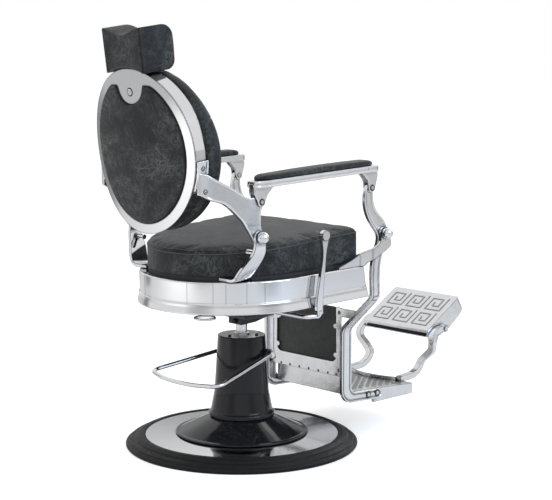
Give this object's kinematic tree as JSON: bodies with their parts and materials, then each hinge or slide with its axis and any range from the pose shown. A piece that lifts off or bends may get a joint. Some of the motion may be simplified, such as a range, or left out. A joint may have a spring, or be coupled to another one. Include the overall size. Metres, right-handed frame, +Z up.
{
  "type": "hydraulic barber chair",
  "caption": "Upholstered chair on a hydraulic column, with reclining round back, hinged armrests, swinging footrest, flip-up upper plate and sliding headrest.",
  "frame": {"origin": "on the floor, at the axis of the column", "axes": "+Z up; the sitter faces -Y; the sitter's left hand is at +X"},
  "size_m": [0.7, 1.3109, 1.2487],
  "materials": {
    "rubber_ring": "matt black, stepped",
    "ballast": "painted black",
    "disc_chrome": "polished",
    "black_gloss": "gloss black",
    "steel": "turned",
    "black_steel": "black",
    "chrome": "polished",
    "cast_polished": "polished and chromed casting, satin in its hollows",
    "leather": "waxed charcoal, mottled",
    "board": "plywood, covered",
    "calf_board": "dark board"
  },
  "bodies": {
    "base": {"base_ring": "rubber_ring", "base_plate": "ballast", "base_disc": "disc_chrome", "column_flange": "black_gloss", "column_cover": "black_gloss", "pump_cylinder": "steel", "gland": "steel", "cover_screws": "black_steel", "pedal_bosses": "black_steel", "pump_block": "steel"},
    "pedal": {"pump_pedal": "chrome", "pedal_shaft": "steel"},
    "lift": {"piston_rod": "steel", "piston": "steel"},
    "seat": {"hub_block": "black_gloss", "hub_nut": "black_steel", "mount_plate": "black_steel", "seat_frame": "steel", "seat_apron": "chrome", "seat_board": "board", "seat_cushion": "leather", "stop_pegs": "chrome", "pivot_pins": "chrome", "ball_nuts": "chrome", "lever_bearing": "steel", "lock_pin": "steel", "rear_bracket_left": "chrome", "rear_bracket_right": "chrome", "front_bracket_left": "chrome", "front_bracket_right": "chrome"},
    "recline_handle": {"recline_lever": "chrome"},
    "swivel_handle": {"swivel_lock": "chrome"},
    "back": {"side_casting_left": "cast_polished", "side_casting_right": "cast_polished", "back_ring": "chrome", "back_band": "chrome", "back_core": "board", "back_panel": "leather", "back_cushion": "leather", "headrest_socket": "steel"},
    "button": {"headrest_button": "chrome"},
    "headrest": {"headrest_post": "chrome", "headrest_pad": "leather"},
    "arm_left": {"arm_frame_left": "cast_polished", "arm_pad_left": "leather", "arm_pins_left": "chrome"},
    "arm_right": {"arm_frame_right": "cast_polished", "arm_pad_right": "leather", "arm_pins_right": "chrome"},
    "legs": {"hanger_lever_left": "cast_polished", "hanger_lever_right": "cast_polished", "lower_step": "cast_polished", "calf_frame": "cast_polished", "calf_panel": "calf_board", "plate_arms": "cast_polished", "step_bolts": "chrome"},
    "upper_plate": {"tread_plate": "cast_polished", "plate_pins": "chrome"}
  },
  "joints": [
    {"name": "pedal_rock", "type": "hinge", "parent": "base", "child": "pedal", "pos_m": [0, -0.042, 0.279], "axis": [-1, 0, 0], "range_deg": [0, 20], "stiffness_Nm_per_rad": 8, "springref_deg": -22.92},
    {"name": "seat_lift", "type": "slide", "parent": "base", "child": "lift", "axis": [0, 0, 1], "range_m": [-0.02, 0.14]},
    {"name": "seat_swivel", "type": "hinge", "parent": "lift", "child": "seat", "pos_m": [0, 0, 0.39], "axis": [0, 0, 1], "continuous": true},
    {"name": "recline", "type": "hinge", "parent": "seat", "child": "back", "pos_m": [0, 0.183, 0.6685], "axis": [-1, 0, 0], "range_deg": [0, 24]},
    {"name": "leg_swing", "type": "hinge", "parent": "seat", "child": "legs", "pos_m": [0, -0.299, 0.642], "axis": [-1, 0, 0], "range_deg": [0, 20]},
    {"name": "arm_left_swing", "type": "hinge", "parent": "back", "child": "arm_left", "pos_m": [0.29, 0.197, 0.77], "axis": [1, 0, 0], "range_deg": [0, 27]},
    {"name": "arm_right_swing", "type": "hinge", "parent": "back", "child": "arm_right", "pos_m": [-0.29, 0.197, 0.77], "axis": [1, 0, 0], "range_deg": [0, 27]},
    {"name": "plate_flip", "type": "hinge", "parent": "legs", "child": "upper_plate", "pos_m": [0, -0.757, 0.274], "axis": [-1, 0, 0], "range_deg": [0, 110]},
    {"name": "headrest_slide", "type": "slide", "parent": "back", "child": "headrest", "axis": [0, 0.1323, 0.9912], "range_m": [0, 0.12]},
    {"name": "button_press", "type": "slide", "parent": "back", "child": "button", "axis": [0, -0.9912, 0.1323], "range_m": [0, 0.004], "stiffness_N_per_m": 500, "springref_m": -0.004},
    {"name": "recline_pull", "type": "hinge", "parent": "seat", "child": "recline_handle", "pos_m": [-0.3, 0.01, 0.424], "axis": [-1, 0, 0], "range_deg": [0, 20], "stiffness_Nm_per_rad": 3, "springref_deg": -17.19},
    {"name": "swivel_lock_turn", "type": "hinge", "parent": "seat", "child": "swivel_handle", "pos_m": [-0.03595, 0.07592, 0.43], "axis": [0, 0, 1], "range_deg": [0, 20]}
  ],
  "couplings": [
    {"joint": "leg_swing", "follows": "recline", "ratio": 0.748},
    {"joint": "arm_left_swing", "follows": "recline", "ratio": 1.048},
    {"joint": "arm_right_swing", "follows": "recline", "ratio": 1.048}
  ]
}
